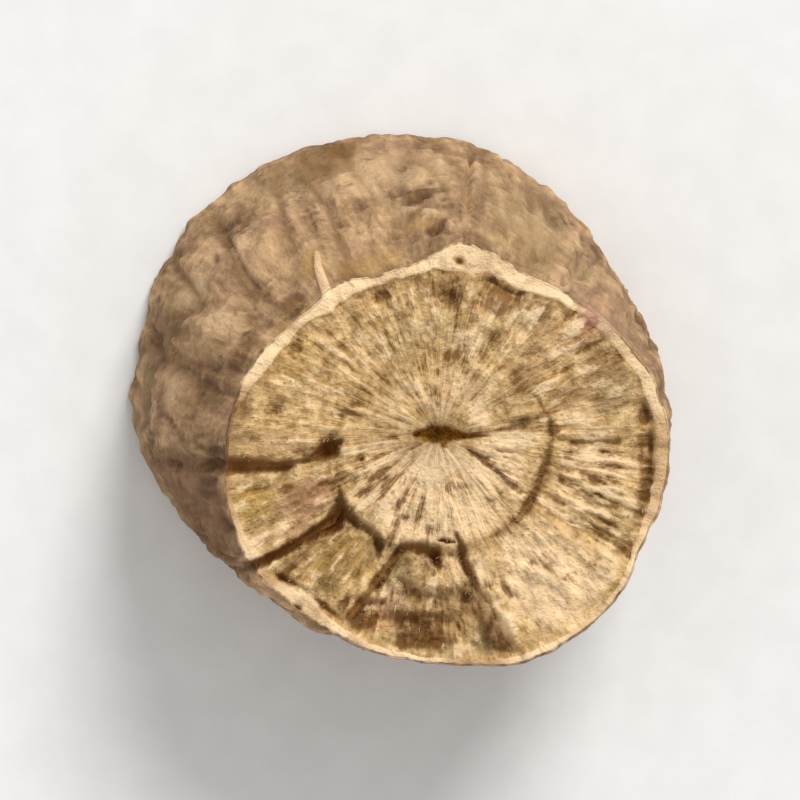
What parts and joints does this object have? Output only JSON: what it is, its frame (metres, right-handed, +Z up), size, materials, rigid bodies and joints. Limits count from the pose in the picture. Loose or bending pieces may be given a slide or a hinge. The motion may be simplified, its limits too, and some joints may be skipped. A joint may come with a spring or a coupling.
{
  "type": "eleuthero root piece",
  "caption": "Short oblique stub of dried eleuthero root, cut at both ends, with a pith slit, rays and drying cracks in its pale cut face and thin furrowed bark.",
  "frame": {"origin": "middle of the stub's outline, on the surface that its lower cut stands on", "axes": "+Z up, along the stub's short height; +X to the right and +Y to the top of a view straight down on the upper cut"},
  "size_m": [0.0142, 0.014, 0.0096],
  "materials": {
    "dry_root": "dull dry cut wood with thin grey-brown bark"
  },
  "bodies": {
    "root": {"root_stub": "dry_root"}
  },
  "joints": []
}
